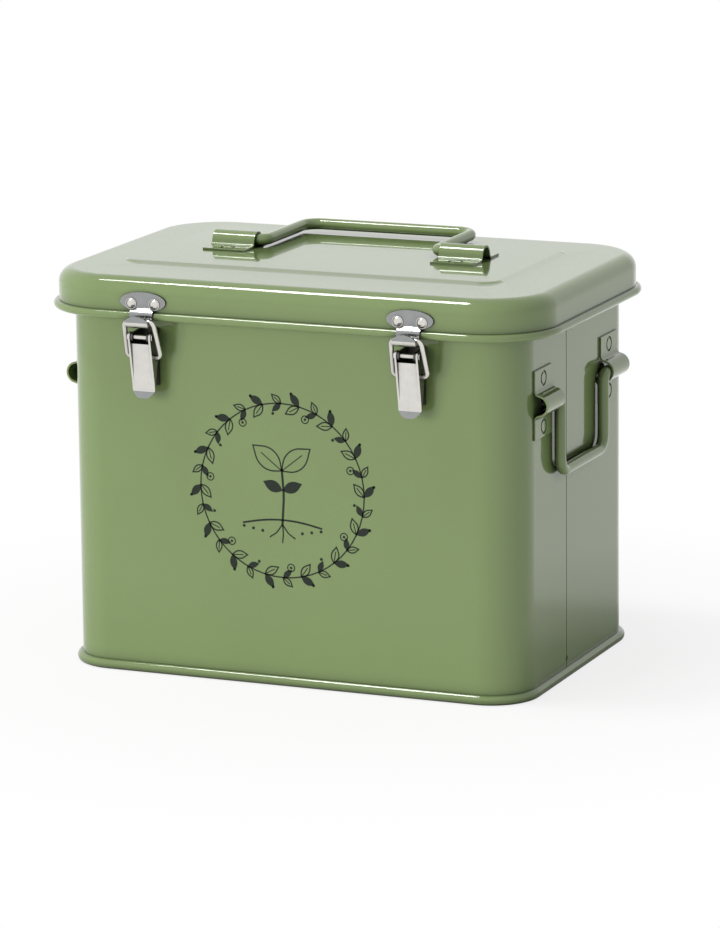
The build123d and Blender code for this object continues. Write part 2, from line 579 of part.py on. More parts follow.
def latch_lever(side):
    """Channel-shaped lever with a thumb tip that flares away from the wall."""
    face_top = (PIN_Y, PIN_Z - LEVER_FACE_TOP_DROP)
    fold = (face_top[0] + LEVER_FACE_LEAN, face_top[1] - LEVER_FACE_LENGTH)
    tip = (fold[0] - LEVER_TIP_FLARE, fold[1] - LEVER_TIP_LENGTH)
    face = folded_sheet([face_top, fold, tip], [LEVER_FOLD_RADIUS], LEVER_SHEET, LEVER_WIDTH)
    beyond = Pos(0, tip[0], tip[1]) * Box(2 * LEVER_WIDTH, LEVER_WIDTH, LEVER_WIDTH)
    arch = Pos(0, tip[0], tip[1] + LEVER_TIP_ROUND) * Rot(90, 0, 0) * Cylinder(
        LEVER_TIP_ROUND, 2 * LEVER_WIDTH
    )
    face -= beyond - arch
    half_sheet = LEVER_SHEET / 2
    ears = ear_hull(
        [
            (PIN_Y, PIN_Z, LEVER_EAR_RADIUS),
            (PIVOT_Y, PIVOT_Z, LOOP_EAR_RADIUS),
            (face_top[0], face_top[1], half_sheet),
            (fold[0], fold[1] + LEVER_FOLD_RADIUS, half_sheet),
        ],
        LEVER_WIDTH / 2,
    )
    lever = face + ears
    lever -= along_x(LATCH_PIN_RADIUS + RUNNING_CLEARANCE, LEVER_WIDTH, PIN_Y, PIN_Z)
    lever -= along_x(LOOP_WIRE / 2 + RUNNING_CLEARANCE, LEVER_WIDTH, PIVOT_Y, PIVOT_Z)
    return Pos(LATCH_X[side], 0, 0) * lever


def latch_loop(side):
    """Wire loop: its ends turn in to pivot in the lever, its top bar sits in the keeper's hook."""
    top_y = HOOK_Y
    top_z = HOOK_Z - LOOP_SEAT
    top = LOOP_TOP_WIDTH / 2
    bottom = LOOP_BOTTOM_WIDTH / 2
    points = [
        (-LEVER_INSIDE, PIVOT_Y, PIVOT_Z),
        (-bottom, PIVOT_Y, PIVOT_Z),
        (-top, top_y, top_z),
        (top, top_y, top_z),
        (bottom, PIVOT_Y, PIVOT_Z),
        (LEVER_INSIDE, PIVOT_Y, PIVOT_Z),
    ]
    radii = [LOOP_ELBOW_RADIUS, LOOP_TOP_RADIUS, LOOP_TOP_RADIUS, LOOP_ELBOW_RADIUS]
    return Pos(LATCH_X[side], 0, 0) * wire_form(points, radii, LOOP_WIRE / 2)


# ---- lid hinges ----------------------------------------------------------------------------
def knuckle(index, bore):
    """One third of the hinge's barrel, counted from the left, around a bore."""
    length = KNUCKLE_PITCH - KNUCKLE_GAP
    tube = Circle(KNUCKLE_RADIUS) - Circle(bore)
    start_x = (index - 1) * KNUCKLE_PITCH - length / 2
    return Plane((start_x, HINGE_Y, HINGE_Z), x_dir=(0, 1, 0), z_dir=(1, 0, 0)) * extrude(tube, length)


def knuckle_space(index, bore):
    """Room around another leaf's knuckle, with the gap on each side, and the bore of this leaf."""
    room = Pos((index - 1) * KNUCKLE_PITCH, HINGE_Y, HINGE_Z) * Box(
        KNUCKLE_PITCH + KNUCKLE_GAP, 2 * KNUCKLE_RADIUS + KNUCKLE_GAP, 2 * KNUCKLE_RADIUS + KNUCKLE_GAP
    )
    return room + along_x(bore, HINGE_WIDTH, HINGE_Y, HINGE_Z)


def hinge_body_leaf(side):
    """Leaf on the back wall with the two outer knuckles."""
    wall_y = WALL_Y + HALF_FITTING
    bend_y = HINGE_Y - KNUCKLE_MIDDLE
    bend_z = HINGE_Z - BODY_LEAF_JOGGLE
    points = [(bend_y, HINGE_Z), (bend_y, bend_z), (wall_y, bend_z - (bend_y - wall_y)),
              (wall_y, HINGE_Z - BODY_LEAF_DROP)]
    leaf_width = HINGE_WIDTH - KNUCKLE_GAP
    leaf = folded_sheet(points, [LEAF_BEND_RADIUS, LEAF_BEND_RADIUS], FITTING_SHEET, leaf_width)
    leaf -= knuckle_space(1, HINGE_PIN_RADIUS)
    leaf += knuckle(0, HINGE_PIN_RADIUS) + knuckle(2, HINGE_PIN_RADIUS)
    return Pos(HINGE_X[side], 0, 0) * leaf - holes_along_y(BODY_LEAF_RIVETS[side], HINGE_RIVET_SHANK)


def hinge_lid_leaf(side):
    """Leaf bent around the hem onto the skirt, with the middle knuckle."""
    bore = HINGE_PIN_RADIUS + RUNNING_CLEARANCE
    skirt_y = SKIRT_Y + HALF_FITTING
    outer_y = HINGE_Y + KNUCKLE_MIDDLE
    points = [
        (outer_y, HINGE_Z),
        (outer_y, KEEPER_FOOT_Z + LEAF_BEND_FOOT),
        (skirt_y, KEEPER_FOOT_Z + LEAF_BEND_TOP),
        (skirt_y, HEM_Z + LID_LEAF_TOP),
    ]
    leaf_width = HINGE_WIDTH - KNUCKLE_GAP
    leaf = folded_sheet(points, [LEAF_BEND_RADIUS, LEAF_BEND_RADIUS], FITTING_SHEET, leaf_width)
    leaf -= knuckle_space(0, bore) + knuckle_space(2, bore)
    leaf += knuckle(1, bore)
    return Pos(HINGE_X[side], 0, 0) * leaf - holes_along_y(LID_LEAF_RIVETS[side], HINGE_RIVET_SHANK)


def hinge_pin(side):
    """Pin fixed in the outer knuckles."""
    return Pos(HINGE_X[side], 0, 0) * along_x(
        HINGE_PIN_RADIUS, HINGE_WIDTH / 2 + HINGE_PIN_END, HINGE_Y, HINGE_Z
    )


# ---- assembly ------------------------------------------------------------------------------
RIVET = (RIVET_SHANK, RIVET_HEAD, RIVET_DOME)
HINGE_RIVET = (HINGE_RIVET_SHANK, HINGE_RIVET_HEAD, HINGE_RIVET_DOME)
SMALL_RIVET = (SMALL_RIVET_SHANK, SMALL_RIVET_HEAD, SMALL_RIVET_DOME)

nodes = {
    "body_wall": body_wall(),
    "base_pan": base_pan(),
    "partition": partition(),
    "lid_shell": lid_shell(),
    "lid_handle": lid_bail(),
}
for side in SIDES:
    nodes[f"{side}_handle"] = end_bail(side)
    nodes[f"lid_clip_{side}"] = lid_clip(side)
    for end in ENDS:
        nodes[f"{side}_clip_{end}"] = end_clip(side, end)
    nodes[f"keeper_{side}"] = keeper(side)
    nodes[f"keeper_rivets_{side}"] = rivet_group(
        KEEPER_RIVETS[side], (0, -1, 0), FITTING_SHEET + SHEET, RIVET
    )
    nodes[f"latch_base_{side}"] = latch_base(side)
    nodes[f"latch_base_rivets_{side}"] = rivet_group(
        BRACKET_RIVETS[side], (0, -1, 0), LEVER_SHEET + SHEET, SMALL_RIVET
    )
    nodes[f"latch_pin_{side}"] = latch_pin(side)
    nodes[f"latch_lever_{side}"] = latch_lever(side)
    nodes[f"latch_loop_{side}"] = latch_loop(side)
    nodes[f"hinge_body_leaf_{side}"] = hinge_body_leaf(side)
    nodes[f"hinge_lid_leaf_{side}"] = hinge_lid_leaf(side)
    nodes[f"hinge_pin_{side}"] = hinge_pin(side)
    nodes[f"hinge_body_rivets_{side}"] = rivet_group(
        BODY_LEAF_RIVETS[side], (0, 1, 0), FITTING_SHEET + SHEET, HINGE_RIVET
    )
    nodes[f"hinge_lid_rivets_{side}"] = rivet_group(
        LID_LEAF_RIVETS[side], (0, 1, 0), FITTING_SHEET + SHEET, HINGE_RIVET
    )
    for card in range(CARDS_PER_SIDE):
        nodes[f"index_card_{side}_{card + 1}"] = index_card(side, card)

os.makedirs("parts", exist_ok=True)
for name, shape in nodes.items():
    export_step(shape, f"parts/{name}.step")
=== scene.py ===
"""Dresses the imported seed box: sage enamel, nickel latches, a botanical print and a plain studio."""

from __future__ import annotations

import json
import logging
from dataclasses import dataclass
from math import cos, pi, radians, sin, tan
from typing import Iterable, Sequence

import bmesh
import bpy
from mathutils import Matrix, Vector

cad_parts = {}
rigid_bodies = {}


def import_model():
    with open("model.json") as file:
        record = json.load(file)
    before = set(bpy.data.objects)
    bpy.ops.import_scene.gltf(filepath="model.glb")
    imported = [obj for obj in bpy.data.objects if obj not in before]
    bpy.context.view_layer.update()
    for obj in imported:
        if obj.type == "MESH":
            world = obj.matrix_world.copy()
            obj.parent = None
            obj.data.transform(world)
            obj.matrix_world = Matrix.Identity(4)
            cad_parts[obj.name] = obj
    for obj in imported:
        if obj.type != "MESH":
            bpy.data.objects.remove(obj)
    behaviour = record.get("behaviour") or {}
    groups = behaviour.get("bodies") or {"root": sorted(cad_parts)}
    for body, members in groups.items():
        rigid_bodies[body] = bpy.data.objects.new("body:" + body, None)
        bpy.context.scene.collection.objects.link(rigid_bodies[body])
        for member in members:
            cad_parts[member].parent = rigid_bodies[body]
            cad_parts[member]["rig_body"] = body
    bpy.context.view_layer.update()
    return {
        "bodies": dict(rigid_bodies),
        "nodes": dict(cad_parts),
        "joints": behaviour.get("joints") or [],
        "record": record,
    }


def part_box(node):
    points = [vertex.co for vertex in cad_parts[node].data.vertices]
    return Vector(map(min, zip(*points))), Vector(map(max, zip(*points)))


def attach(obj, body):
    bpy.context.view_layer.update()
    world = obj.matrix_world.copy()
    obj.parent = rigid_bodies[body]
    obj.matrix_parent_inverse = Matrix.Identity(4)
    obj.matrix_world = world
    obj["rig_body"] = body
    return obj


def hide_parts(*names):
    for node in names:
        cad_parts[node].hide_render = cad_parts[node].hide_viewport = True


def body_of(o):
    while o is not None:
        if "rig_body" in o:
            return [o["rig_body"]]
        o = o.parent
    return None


LOG = logging.getLogger("seed_box")
MM = 0.001
ROOT_BODY = "box"
SIDES = ("left", "right")
ENDS = ("front", "back")
CARDS_PER_SIDE = 3

WELD_DISTANCE = 1e-6  # metres
SAME_POINT = 1e-4  # millimetres
FLAT_DEGREES = 0.2
CORNER_DEGREES = 50.0
SHARP_DEGREES = 32.0
PRINT_SHARP_DEGREES = 30.0
EDGE_SEGMENTS = 2
NORMAL_WEIGHT = 50
FACING_FRONT = 0.9  # least Y part of a normal that counts as facing the front or back
NEARLY_ROUND = 0.999  # keeps a short straight run between the quarters of a circle
LEAF_STEPS = 6
STROKE_STEPS = 14
DOT_SEGMENTS = 16
OPENNESS_SAMPLES = 8

# numbers of the Mix node's sockets for colours
MIX_FACTOR, MIX_FIRST, MIX_SECOND, MIX_RESULT = 0, 6, 7, 2

# widths of broken edges, in millimetres
NO_EDGE = 0.0
RIVET_EDGE = 0.05
BRACKET_EDGE = 0.08
SHEET_EDGE = 0.1
CLIP_EDGE = 0.15
WIRE_EDGE = 0.2
KEEPER_EDGE = 0.34

Colour = tuple[float, float, float]
Opaque = tuple[float, float, float, float]
WHITE: Opaque = (1.0, 1.0, 1.0, 1.0)


# ---- shader writing ------------------------------------------------------------------------
class Value:
    """Output of a shader node that takes part in arithmetic."""

    def __init__(self, graph: "Graph", socket: bpy.types.NodeSocket | None) -> None:
        """Keeps the graph and its output socket, which is nothing for a node without outputs."""
        self.graph = graph
        self.socket = socket

    def _math(self, operation: str, *terms: "Value | float") -> "Value":
        """Result of a Math node, by Blender's name of the operation and its inputs in order."""
        return self.graph.node("ShaderNodeMath", {"operation": operation}, list(terms))

    def __add__(self, other: "Value | float") -> "Value":
        """Sum."""
        return self._math("ADD", self, other)

    __radd__ = __add__

    def __sub__(self, other: "Value | float") -> "Value":
        """Difference."""
        return self._math("SUBTRACT", self, other)

    def __rsub__(self, other: "Value | float") -> "Value":
        """Difference from a number."""
        return self._math("SUBTRACT", other, self)

    def __mul__(self, other: "Value | float") -> "Value":
        """Product."""
        return self._math("MULTIPLY", self, other)

    __rmul__ = __mul__

    def __lt__(self, other: "Value | float") -> "Value":
        """One where the value is below the other."""
        return self._math("LESS_THAN", self, other)

    def __gt__(self, other: "Value | float") -> "Value":
        """One where the value is above the other."""
        return self._math("GREATER_THAN", self, other)

    def __abs__(self) -> "Value":
        """Size without sign."""
        return self._math("ABSOLUTE", self)

    def clamped(self) -> "Value":
        """The value held between 0 and 1."""
        return self.graph.node("ShaderNodeClamp", {}, [self, 0.0, 1.0])


class Graph:
    """Node tree that is written as expressions."""

    def __init__(self, tree: bpy.types.NodeTree) -> None:
        """Keeps the node tree of a material or a world, and empties it."""
        self.tree = tree
        tree.nodes.clear()

    def node(
        self,
        kind: str,
        settings: dict[str, object] | None = None,
        inputs: dict[str | int, object] | Sequence[object] | None = None,
        output: int | str = 0,
    ) -> Value:
        """Adds one node.

        Args:
            kind: Blender's type of the node.
            settings: Properties set before the sockets.
            inputs: Values or links, by socket name, by number or in order.
            output: The socket that the expression goes on from.

        Returns:
            The chosen output.
        """
        made = self.tree.nodes.new(kind)
        for name, setting in (settings or {}).items():
            setattr(made, name, setting)
        pairs = inputs.items() if isinstance(inputs, dict) else enumerate(inputs or [])
        for key, given in pairs:
            if isinstance(given, Value):
                self.tree.links.new(given.socket, made.inputs[key])
            else:
                made.inputs[key].default_value = given
        return Value(self, made.outputs[output]) if made.outputs else Value(self, None)

    def place(self) -> Value:
        """Object coordinates, in metres."""
        return self.node("ShaderNodeTexCoord", output="Object")

    def axes(self) -> tuple[Value, Value, Value]:
        """X, Y and Z of the object coordinates."""
        outputs = self.node("ShaderNodeSeparateXYZ", {}, [self.place()]).socket.node.outputs
        return Value(self, outputs["X"]), Value(self, outputs["Y"]), Value(self, outputs["Z"])

    def stretched(self, scale: tuple[float, float, float]) -> Value:
        """Object coordinates scaled by factors along X, Y and Z."""
        return self.node("ShaderNodeMapping", {}, {"Vector": self.place(), "Scale": scale})

    def noise(self, at: Value, size_mm: float, detail: float) -> Value:
        """Noise around 0.5, by its coordinates in metres, the size of a lump and its octaves."""
        given = {"Vector": at, "Scale": 1.0 / (size_mm * MM), "Detail": detail}
        return self.node("ShaderNodeTexNoise", {}, given)

    def mix(self, factor: Value | float, first: object, second: object) -> Value:
        """Blend of two colours or links, from the first at factor 0 to the second at 1."""
        given = {MIX_FACTOR: factor, MIX_FIRST: first, MIX_SECOND: second}
        return self.node("ShaderNodeMix", {"data_type": "RGBA"}, given, output=MIX_RESULT)

    def bump(self, height: Value, depth_mm: float, strength: float) -> Value:
        """Normal bumped by a relief from 0 to 1, its depth and the share of it that shows."""
        given = {"Strength": strength, "Distance": depth_mm * MM, "Height": height}
        return self.node("ShaderNodeBump", {}, given)

    def openness(self, reach_mm: float) -> Value:
        """Share of open surroundings within a reach, lower in creases and under fittings."""
        settings, given = {"samples": OPENNESS_SAMPLES}, {"Distance": reach_mm * MM}
        return self.node("ShaderNodeAmbientOcclusion", settings, given, output="AO")

    def principled(self, sockets: dict[str, object]) -> None:
        """Ends a material in one Principled shader, its inputs given by name."""
        shader = self.node("ShaderNodeBsdfPrincipled", {}, sockets)
        self.node("ShaderNodeOutputMaterial", {}, [shader])


def shaded(colour: Colour, factor: float) -> Opaque:
    """Colour with full alpha, darker for a factor below 1 and lighter for one above."""
    return (*(channel * factor for channel in colour), 1.0)


# ---- finishes ------------------------------------------------------------------------------
@dataclass(frozen=True)
class Finish:
    """Something that becomes a material."""

    name: str

    def material(self) -> bpy.types.Material:
        """Makes the finish's material once.

        Returns:
            The material.
        """
        found = bpy.data.materials.get(self.name)
        if found:
            return found
        made = bpy.data.materials.new(self.name)
        made.use_nodes = True
        self.write(Graph(made.node_tree))
        return made

    def write(self, graph: Graph) -> None:
        """Writes the nodes into the material's empty graph."""
        raise NotImplementedError


@dataclass(frozen=True)
class Enamel(Finish):
    """Glossy sage enamel, a little wavy as stove enamel on thin sheet is.

    Attributes:
        colour: Its colour.
        shades: Factors of the colour in its dark and its light clouds.
        cloud_mm, speck_mm: Sizes of clouds and specks in the colour.
        cloud_share: Share of the clouds, the rest being specks.
        peel_mm, wave_mm: Sizes of the lumps of orange peel and of the sheet's waves.
        peel_share: Share of the peel in the relief, the rest being waves.
        relief_mm, relief_share: Depth of the relief and how much of it shows.
        rough, rough_gain: Least roughness and what the peel adds.
        coat_rough, coat_ior, under_coat: Clear coat, and the gloss left under it.
        seam_shade, seam_depth: Factor of the colour in a seam line and the line's depth.
        painted_shade_mm, painted_shade_share, painted_shade_factor: Reach, strength and colour factor of
        painted shade in creases, hollows and under fittings.
    """

    colour: Colour = (0.188, 0.262, 0.098)
    shades: tuple[float, float] = (0.94, 1.06)
    cloud_mm: float = 55.0
    cloud_share: float = 0.7
    speck_mm: float = 1.1
    peel_mm: float = 2.2
    peel_share: float = 0.1
    wave_mm: float = 38.0
    relief_mm: float = 0.12
    relief_share: float = 0.35
    rough: float = 0.16
    rough_gain: float = 0.06
    coat_rough: float = 0.035
    coat_ior: float = 1.54
    under_coat: float = 0.03
    seam_shade: float = 0.25
    seam_depth: float = 0.5
    # painted shade: the colour is darkened in creases, hollows and under fittings, where shade falls
    painted_shade_mm: float = 5.0
    painted_shade_share: float = 1.1
    painted_shade_factor: float = 0.12

    def seam(self, graph: Graph) -> Value | None:
        """Mask of a seam line, where the finish has one."""
        return None

    def write(self, graph: Graph) -> None:
        """Writes clouded colour, orange peel, a clear coat and painted shade in creases and hollows.

        Args:
            graph: Empty graph of the material.
        """
        at = graph.place()
        cloud = graph.noise(at, self.cloud_mm, detail=3.0)
        speck = graph.noise(at, self.speck_mm, detail=1.0)
        tone = (cloud * self.cloud_share + speck * (1.0 - self.cloud_share)).clamped()
        colour = graph.mix(tone, *(shaded(self.colour, shade) for shade in self.shades))
        seam = self.seam(graph)
        peel = graph.noise(at, self.peel_mm, detail=2.0)
        wave = graph.noise(at, self.wave_mm, detail=1.0)
        relief = wave * (1.0 - self.peel_share) + peel * self.peel_share
        if seam is not None:
            colour = graph.mix(seam, colour, shaded(self.colour, self.seam_shade))
            relief = relief - seam * self.seam_depth
        # painted shade: the colour darkens where ambient occlusion finds the surroundings closed in
        painted_shade = (1.0 - graph.openness(self.painted_shade_mm)) * self.painted_shade_share
        colour = graph.mix(painted_shade.clamped(), colour, shaded(self.colour, self.painted_shade_factor))
        graph.principled(
            {
                "Base Color": colour,
                "Roughness": self.rough + peel * self.rough_gain,
                "Specular IOR Level": self.under_coat,
                "Coat Weight": 1.0,
                "Coat Roughness": self.coat_rough,
                "Coat IOR": self.coat_ior,
                "Normal": graph.bump(relief, self.relief_mm, self.relief_share),
            }
        )


@dataclass(frozen=True)
class Nickel(Finish):
    """Plated sheet or wire with a fine grain.

    Attributes:
        colour: Its colour.
        roughness, rough_gain: Least roughness and what the grain adds.
        shades: Factors of the colour in its dark and its light clouds.
        cloud_mm, grain_mm: Sizes of the clouds and of the grain.
        grain_stretch: Scale of the grain along X, Y and Z.
        relief_mm, relief_share: Depth of the grain and how much of it shows.
        dark_reflection_start, dark_reflection_gain, dark_reflection_share: Painted dark reflection where a
        surface
        turns away: where it starts to darken, how fast and how far.
        painted_shade_mm, painted_shade_share: Reach and strength of painted shade in hollows.
        painted_dark_factor: Factor of the colour where the painted shade and painted dark reflection are
            darkest.
    """

    colour: Colour = (0.72, 0.70, 0.66)
    roughness: float = 0.16
    rough_gain: float = 0.10
    shades: tuple[float, float] = (0.90, 1.08)
    cloud_mm: float = 4.0
    grain_mm: float = 0.35
    grain_stretch: tuple[float, float, float] = (1.0, 1.0, 0.08)
    relief_mm: float = 0.01
    relief_share: float = 0.3
    # painted dark reflection: surfaces that turn away are darkened, standing in for dark surroundings
    dark_reflection_start: float = 0.28
    dark_reflection_gain: float = 2.2
    dark_reflection_share: float = 0.8
    # painted shade in hollows and under fittings
    painted_shade_mm: float = 3.0
    painted_shade_share: float = 0.7
    painted_dark_factor: float = 0.08

    def write(self, graph: Graph) -> None:
        """Writes clouded metal with a grain, with painted shade in hollows
        and a painted dark reflection where it turns away.

        Args:
            graph: Empty graph of the material.
        """
        grain = graph.noise(graph.stretched(self.grain_stretch), self.grain_mm, detail=3.0)
        cloud = graph.noise(graph.place(), self.cloud_mm, detail=2.0)
        colour = graph.mix(cloud, *(shaded(self.colour, shade) for shade in self.shades))
        turning = graph.node("ShaderNodeLayerWeight", {}, {"Blend": 0.5}, output="Facing")
        # painted dark reflection where the surface turns away, plus painted shade in hollows
        dark = ((turning - self.dark_reflection_start) * self.dark_reflection_gain).clamped() * self.dark_reflection_share
        painted_shade = (1.0 - graph.openness(self.painted_shade_mm)) * self.painted_shade_share
        colour = graph.mix((dark + painted_shade).clamped(), colour, shaded(self.colour, self.painted_dark_factor))
        graph.principled(
            {
                "Base Color": colour,
                "Metallic": 1.0,
                "Roughness": self.roughness + grain * self.rough_gain,
                "Normal": graph.bump(grain, self.relief_mm, self.relief_share),
            }
        )


@dataclass(frozen=True)
class Card(Finish):
    """Uncoated kraft card with fibres."""

    colour: Colour = (0.50, 0.38, 0.24)
    shades: tuple[float, float] = (0.8, 1.2)
    fibre_mm: float = 0.9
    fibre_stretch: tuple[float, float, float] = (0.35, 1.0, 1.0)
    fleck_mm: float = 2.6
    fleck_level: float = 0.64
    fleck_share: float = 0.35
    fleck_shade: float = 0.5
    roughness: float = 0.85
    relief_mm: float = 0.08
    relief_share: float = 0.5

    def write(self, graph: Graph) -> None:
        """Writes fibres and flecks.

        Args:
            graph: Empty graph of the material.
        """
        fibre = graph.noise(graph.stretched(self.fibre_stretch), self.fibre_mm, detail=5.0)
        fleck = graph.noise(graph.place(), self.fleck_mm, detail=4.0)
        colour = graph.mix(fibre, *(shaded(self.colour, shade) for shade in self.shades))
        specks = (fleck > self.fleck_level) * self.fleck_share
        colour = graph.mix(specks, colour, shaded(self.colour, self.fleck_shade))
        relief = graph.bump(fibre, self.relief_mm, self.relief_share)
        graph.principled({"Base Color": colour, "Roughness": self.roughness, "Normal": relief})


@dataclass(frozen=True)
class Ink(Finish):
    """Dark screen print under the gloss."""

    colour: Colour = (0.012, 0.018, 0.011)
    shades: tuple[float, float] = (0.8, 1.4)
    tone_mm: float = 1.5
    roughness: float = 0.34
    rough_gain: float = 0.1
    specular: float = 0.3

    def write(self, graph: Graph) -> None:
        """Writes a slightly uneven print.

        Args:
            graph: Empty graph of the material.
        """
        tone = graph.noise(graph.place(), self.tone_mm, detail=3.0)
        colour = graph.mix(tone, *(shaded(self.colour, shade) for shade in self.shades))
        rough = self.roughness + tone * self.rough_gain
        graph.principled({"Base Color": colour, "Roughness": rough, "Specular IOR Level": self.specular})


@dataclass(frozen=True)
class Ground(Finish):
    """White studio floor that keeps the box's shadow and is plain white away from it.

    Attributes:
        colour: Its colour.
        shades: Factors of the colour in its tooth.
        tooth_mm: Size of the tooth.
        roughness, specular: Its matt surface.
        near, far: Distances from the origin, in metres, between which it turns plain white.
        lift: Least share of plain white for the camera.
    """

    colour: Colour = (0.97, 0.97, 0.965)
    shades: tuple[float, float] = (0.995, 1.0)
    tooth_mm: float = 3.0
    roughness: float = 0.9
    specular: float = 0.1
    near: float = 0.12
    far: float = 0.26
    lift: float = 0.8

    def write(self, graph: Graph) -> None:
        """Writes matt white with a trace of tooth, mixed with plain white.

        Args:
            graph: Empty graph of the material.
        """
        tooth = graph.noise(graph.place(), self.tooth_mm, detail=2.0)
        colour = graph.mix(tooth, *(shaded(self.colour, shade) for shade in self.shades))
        sockets = {"Base Color": colour, "Roughness": self.roughness, "Specular IOR Level": self.specular}
        matt = graph.node("ShaderNodeBsdfPrincipled", {}, sockets)
        plain = graph.node("ShaderNodeEmission", {}, {"Color": WHITE, "Strength": 1.0})
        reach = graph.node("ShaderNodeVectorMath", {"operation": "LENGTH"}, [graph.place()], output=1)
        away = ((reach - self.near) * (1.0 / (self.far - self.near))).clamped()
        rays = graph.node("ShaderNodeLightPath")
        outputs = rays.socket.node.outputs
        mirrored = Value(graph, outputs["Is Glossy Ray"]) + Value(graph, outputs["Is Transmission Ray"])
        seen = Value(graph, outputs["Is Camera Ray"])
        share = (seen * (away * (1.0 - self.lift) + self.lift) + mirrored * away).clamped()
        mixed = graph.node("ShaderNodeMixShader", {}, [share, matt, plain])
        graph.node("ShaderNodeOutputMaterial", {}, [mixed])


@dataclass(frozen=True)
class WallEnamel(Enamel):
    """Enamel of the wall, with the lapped seam's dark line on the right end.

    Attributes:
        seam_y, seam_width: Place and width of the line, in millimetres.
        end_x: Where the right end starts, in millimetres.
    """

    seam_y: float = -11.3
    seam_width: float = 0.5
    end_x: float = 90.0

    def seam(self, graph: Graph) -> Value | None:
        """Mask of the seam line.

        Args:
            graph: Graph that the mask joins.

        Returns:
            1 on the line, 0 off it.
        """
        x, y, _ = graph.axes()
        near = abs(y - self.seam_y * MM) < self.seam_width / 2 * MM
        return near * (x > self.end_x * MM)


ENAMEL = Enamel("sage_enamel")
WALL_ENAMEL = WallEnamel("sage_enamel_wall")
BRIGHT_NICKEL = Nickel("bright_nickel")
# darker, rougher nickel: partly a duller brushed finish, partly painted shade on keeper plates, thumb tips
# and bracket rivets
DULL_SHADED_NICKEL = Nickel("dull_shaded_nickel", (0.34, 0.35, 0.35), 0.22)
# lighter nickel for the keepers' broken edges: a painted highlight, with no painted shade or dark
# reflection
GLINT_NICKEL = Nickel("painted_glint_nickel", (0.86, 0.85, 0.82), 0.12, dark_reflection_share=0.0, painted_shade_share=0.0)
# nearly black nickel for the latch brackets: painted shadow inside the channel behind the levers
SHADOWED_NICKEL = Nickel("painted_shadow_nickel", (0.13, 0.13, 0.125), 0.32)
CARD = Card("kraft_card")
INK = Ink("print_ink")


# ---- mesh writing --------------------------------------------------------------------------
@dataclass(frozen=True)
class Knot:
    """Corner of a flat path and the radius that rounds it, in millimetres."""

    x: float
    y: float
    radius: float = 0.0


def flat_curve(knots: Sequence[Knot], closed: bool, steps: int) -> bpy.types.Object:
    """Bezier curve of straight runs and round corners.

    Args:
        knots: Corners in order.
        closed: Whether the last joins the first.
        steps: Pieces of each round corner.

    Returns:
        The curve object, in the XY plane.
    """
    marks: list[list] = []
    count = len(knots)
    for index, knot in enumerate(knots):
        at = Vector((knot.x, knot.y))
        if knot.radius <= 0 or (not closed and index in (0, count - 1)):
            marks.append([at, None, None])
            continue
        before, after = knots[index - 1], knots[(index + 1) % count]
        back = (Vector((before.x, before.y)) - at).normalized()
        ahead = (Vector((after.x, after.y)) - at).normalized()
        half = back.angle(ahead) / 2
        reach = knot.radius / tan(half)
        pull = 4 / 3 * tan((pi - 2 * half) / 4) * knot.radius  # a cubic's handle for a round corner
        start, end = at + back * reach, at + ahead * reach
        if marks and (marks[-1][0] - start).length < SAME_POINT:
            marks[-1][2] = start - back * pull
        else:
            marks.append([start, None, start - back * pull])
        marks.append([end, end - ahead * pull, None])
    data = bpy.data.curves.new("path", "CURVE")
    data.dimensions = "2D"
    data.fill_mode = "NONE"
    data.resolution_u = steps
    spline = data.splines.new("BEZIER")
    spline.bezier_points.add(len(marks) - 1)
    spline.use_cyclic_u = closed
    for point, (at, left, right) in zip(spline.bezier_points, marks):
        point.co = (*at, 0.0)
        point.handle_left_type = "VECTOR" if left is None else "FREE"
        point.handle_right_type = "VECTOR" if right is None else "FREE"
        if left is not None:
            point.handle_left = (*left, 0.0)
        if right is not None:
            point.handle_right = (*right, 0.0)
    curve = bpy.data.objects.new("path", data)
    bpy.context.scene.collection.objects.link(curve)
    return curve


def curve_mesh(curve: bpy.types.Object, *helpers: bpy.types.Object) -> bmesh.types.BMesh:
    """Mesh of a curve, which is then deleted with its helpers.

    Args:
        curve: Curve object with its bevel set.
        helpers: Other curve objects that it used.

    Returns:
        The mesh, in millimetres.
    """
    bpy.context.view_layer.update()
    evaluated = curve.evaluated_get(bpy.context.evaluated_depsgraph_get())
    mesh = bpy.data.meshes.new_from_object(evaluated)
    made = bmesh.new()
    made.from_mesh(mesh)
    bpy.data.meshes.remove(mesh)
    for used in (curve, *helpers):
        data = used.data
        bpy.data.objects.remove(used)
        bpy.data.curves.remove(data)
    return made


def plate(knots: Sequence[Knot], thickness: float, steps: int) -> bmesh.types.BMesh:
    """Flat plate centred on the XY plane.

    Args:
        knots: Its outline.
        thickness: Its thickness.
        steps: Pieces of each round corner.

    Returns:
        The mesh, in millimetres.
    """
    curve = flat_curve(knots, True, steps)
    curve.data.fill_mode = "BOTH"
    curve.data.extrude = thickness / 2
    return curve_mesh(curve)


def join(parts: Iterable[bmesh.types.BMesh]) -> bmesh.types.BMesh:
    """One mesh from several, which are freed.

    Args:
        parts: Meshes in the same units.

    Returns:
        Their union without any merging.
    """
    whole = bmesh.new()
    for part in parts:
        carrier = bpy.data.meshes.new("part")
        part.to_mesh(carrier)
        part.free()
        whole.from_mesh(carrier)
        bpy.data.meshes.remove(carrier)
    return whole


def moved(mesh: bmesh.types.BMesh, matrix: Matrix) -> bmesh.types.BMesh:
    """The mesh after a transform."""
    bmesh.ops.transform(mesh, matrix=matrix, verts=mesh.verts)
    return mesh


def placed(origin: Sequence[float], x_axis: Sequence[float], normal: Sequence[float]) -> Matrix:
    """Matrix that lays the XY plane on a place of the object.

    Args:
        origin: Where the origin goes, in millimetres.
        x_axis: Where X points.
        normal: Where Z points.

    Returns:
        The transform.
    """
    x = Vector(x_axis).normalized()
    z = Vector(normal).normalized()
    y = z.cross(x)
    turn = Matrix((x, y, z)).transposed().to_4x4()
    return Matrix.Translation(Vector(origin)) @ turn


